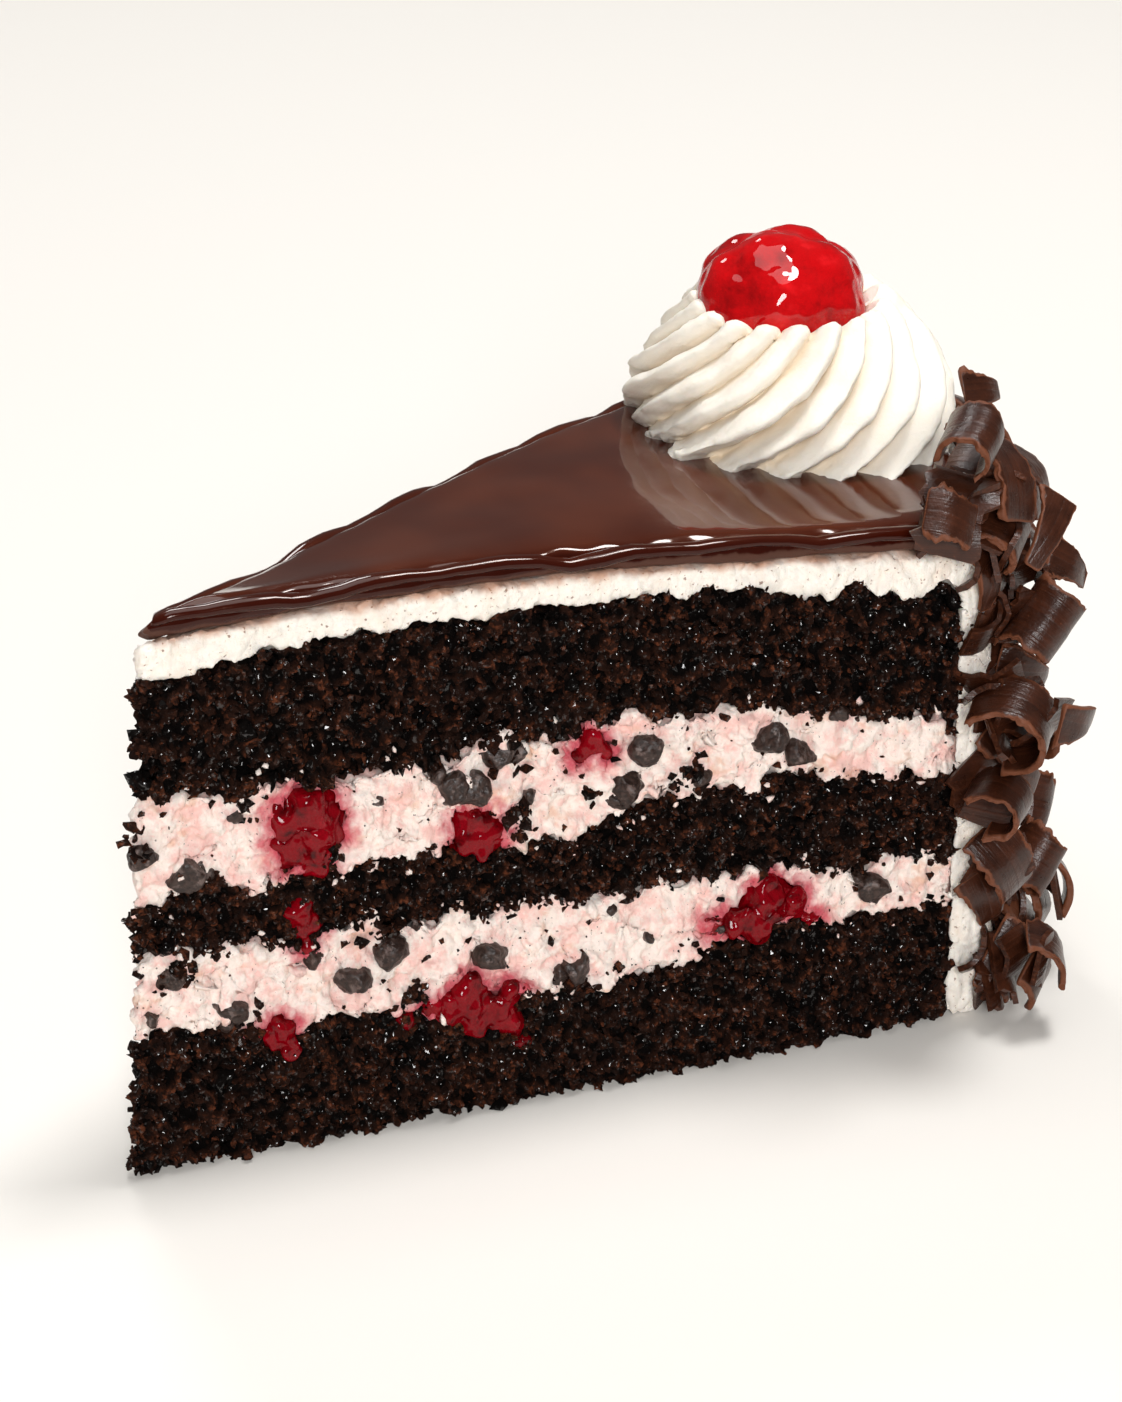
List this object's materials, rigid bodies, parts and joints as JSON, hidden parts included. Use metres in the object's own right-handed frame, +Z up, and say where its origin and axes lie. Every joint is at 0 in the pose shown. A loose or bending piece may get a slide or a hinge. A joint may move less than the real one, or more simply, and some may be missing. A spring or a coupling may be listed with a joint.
{
  "type": "black forest cake slice",
  "caption": "Upright wedge of layered chocolate sponge and cherry cream, glazed on top, with a piped rosette, a cherry and chocolate curls on its back.",
  "frame": {"origin": "middle of the box round the whole slice, curls included, at the level of the flat base", "axes": "+Z up; +X from the point of the slice to its curved back; -Y the near cut face, +Y the far cut face"},
  "size_m": [0.1274, 0.0884, 0.0937],
  "materials": {
    "chocolate_sponge": "moist dark open crumb",
    "cherry_cream_filling": "pale pink whipped cream with cherry stains and dark chips",
    "whipped_cream": "satin warm white",
    "chocolate_glaze": "mirror gloss dark chocolate",
    "cherry": "wet syrup gloss, clear deep red",
    "chocolate_curl": "satin chocolate with fine streaks"
  },
  "bodies": {
    "root": {"sponge_bottom": "chocolate_sponge", "sponge_middle": "chocolate_sponge", "sponge_top": "chocolate_sponge", "filling_lower": "cherry_cream_filling", "filling_upper": "cherry_cream_filling", "cream_coat": "whipped_cream", "rosette": "whipped_cream", "glaze": "chocolate_glaze", "cherry": "cherry", "cherry_piece_near_1": "cherry", "cherry_piece_near_2": "cherry", "cherry_piece_near_3": "cherry", "cherry_piece_near_4": "cherry", "cherry_piece_near_5": "cherry", "cherry_piece_near_6": "cherry", "cherry_piece_near_7": "cherry", "cherry_piece_far_1": "cherry", "cherry_piece_far_2": "cherry", "cherry_piece_far_3": "cherry", "cherry_piece_far_4": "cherry", "curl_01": "chocolate_curl", "curl_02": "chocolate_curl", "curl_03": "chocolate_curl", "curl_04": "chocolate_curl", "curl_05": "chocolate_curl", "curl_06": "chocolate_curl", "curl_07": "chocolate_curl", "curl_08": "chocolate_curl", "curl_09": "chocolate_curl", "curl_10": "chocolate_curl", "curl_11": "chocolate_curl", "curl_12": "chocolate_curl", "curl_13": "chocolate_curl", "curl_14": "chocolate_curl", "curl_15": "chocolate_curl", "curl_16": "chocolate_curl", "curl_17": "chocolate_curl", "curl_18": "chocolate_curl", "curl_19": "chocolate_curl", "curl_20": "chocolate_curl", "curl_21": "chocolate_curl", "curl_22": "chocolate_curl", "curl_23": "chocolate_curl", "curl_24": "chocolate_curl", "curl_25": "chocolate_curl", "curl_26": "chocolate_curl", "curl_27": "chocolate_curl", "curls_01": "chocolate_curl", "curls_02": "chocolate_curl", "curls_03": "chocolate_curl", "curls_04": "chocolate_curl", "curls_05": "chocolate_curl", "curls_06": "chocolate_curl", "curls_07": "chocolate_curl", "curls_08": "chocolate_curl", "curls_09": "chocolate_curl", "curls_10": "chocolate_curl", "curls_11": "chocolate_curl", "curls_12": "chocolate_curl"}
  },
  "joints": []
}
